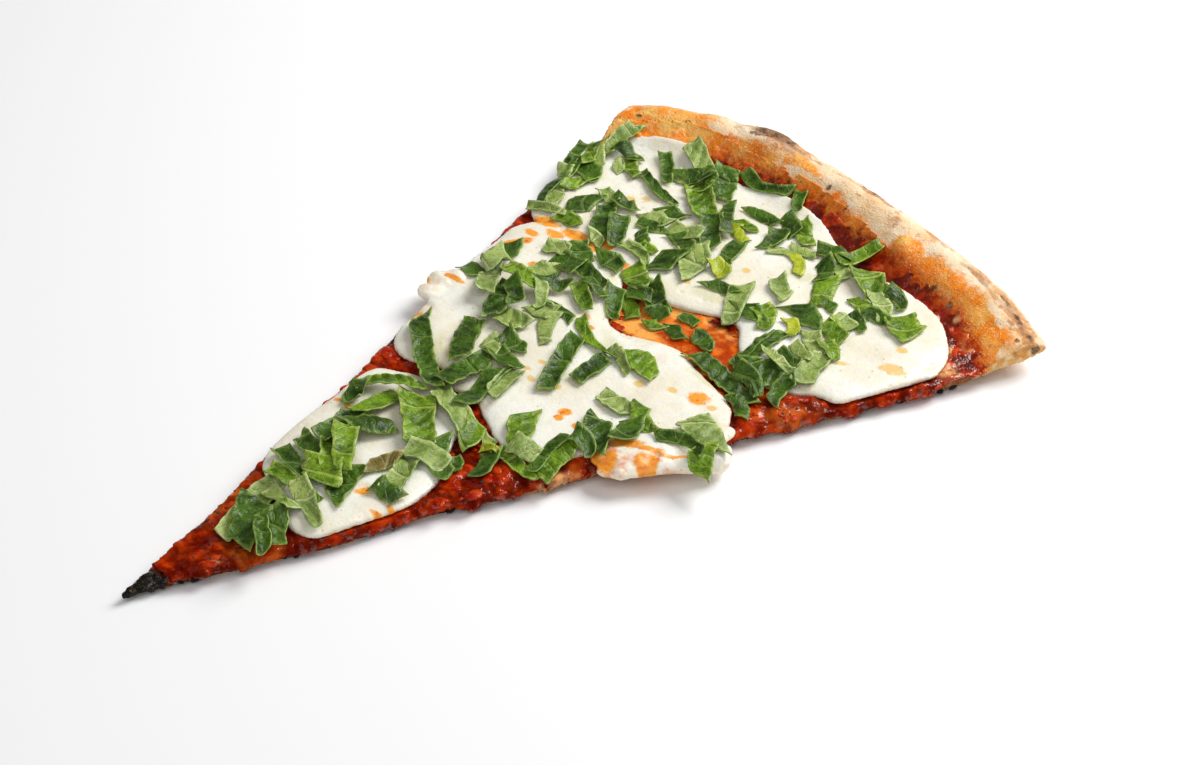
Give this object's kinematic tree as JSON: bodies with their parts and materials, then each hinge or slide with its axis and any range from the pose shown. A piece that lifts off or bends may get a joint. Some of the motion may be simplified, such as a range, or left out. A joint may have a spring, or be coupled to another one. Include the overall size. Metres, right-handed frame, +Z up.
{
  "type": "cheese pizza slice",
  "caption": "Slice of thin-crust pizza with tomato sauce, pools of melted mozzarella and shredded basil, cut as a wedge with a raised rim.",
  "frame": {"origin": "middle of the bounding box in plan, on the table under the slice", "axes": "+Y from the point of the slice to the middle of its rim, +Z up, +X to the right-hand cut"},
  "size_m": [0.1454, 0.226, 0.0149],
  "materials": {
    "dough": "matte baked dough, browned on the rim",
    "sauce": "wet, lumpy tomato sauce",
    "cheese": "smooth melted mozzarella, slightly glossy",
    "basil_dark": "upper face of a basil leaf, satin",
    "basil_bright": "upper face of a young basil leaf, satin",
    "basil_pale": "underside of a basil leaf, matt"
  },
  "bodies": {
    "root": {"crust": "dough", "sauce": "sauce", "cheese_tip": "cheese", "cheese_middle": "cheese", "cheese_rim": "cheese", "basil_01": "basil_pale", "basil_02": "basil_bright", "basil_03": "basil_dark", "basil_04": "basil_pale", "basil_05": "basil_pale", "basil_06": "basil_pale", "basil_07": "basil_dark", "basil_08": "basil_bright", "basil_09": "basil_bright", "basil_10": "basil_dark", "basil_11": "basil_dark", "basil_12": "basil_bright", "basil_13": "basil_pale", "basil_14": "basil_bright", "basil_15": "basil_bright", "basil_16": "basil_pale", "basil_17": "basil_pale", "basil_18": "basil_bright", "basil_19": "basil_pale", "basil_20": "basil_dark", "basil_21": "basil_pale", "basil_22": "basil_dark", "basil_23": "basil_dark", "basil_24": "basil_dark", "basil_25": "basil_pale", "basil_26": "basil_dark", "basil_27": "basil_pale", "basil_28": "basil_bright", "basil_29": "basil_bright", "basil_30": "basil_pale", "basil_31": "basil_dark", "basil_32": "basil_bright", "basil_33": "basil_pale", "basil_34": "basil_bright", "basil_35": "basil_dark", "basil_36": "basil_dark", "basil_37": "basil_dark", "basil_38": "basil_pale", "basil_39": "basil_dark", "basil_40": "basil_dark", "basil_41": "basil_dark", "basil_42": "basil_bright", "basil_43": "basil_dark", "basil_44": "basil_pale", "basil_45": "basil_dark", "basil_46": "basil_pale", "basil_47": "basil_dark", "basil_48": "basil_pale", "basil_49": "basil_dark", "basil_50": "basil_bright", "basil_51": "basil_dark", "basil_52": "basil_pale", "basil_53": "basil_bright", "basil_54": "basil_pale", "basil_55": "basil_bright"}
  },
  "joints": []
}
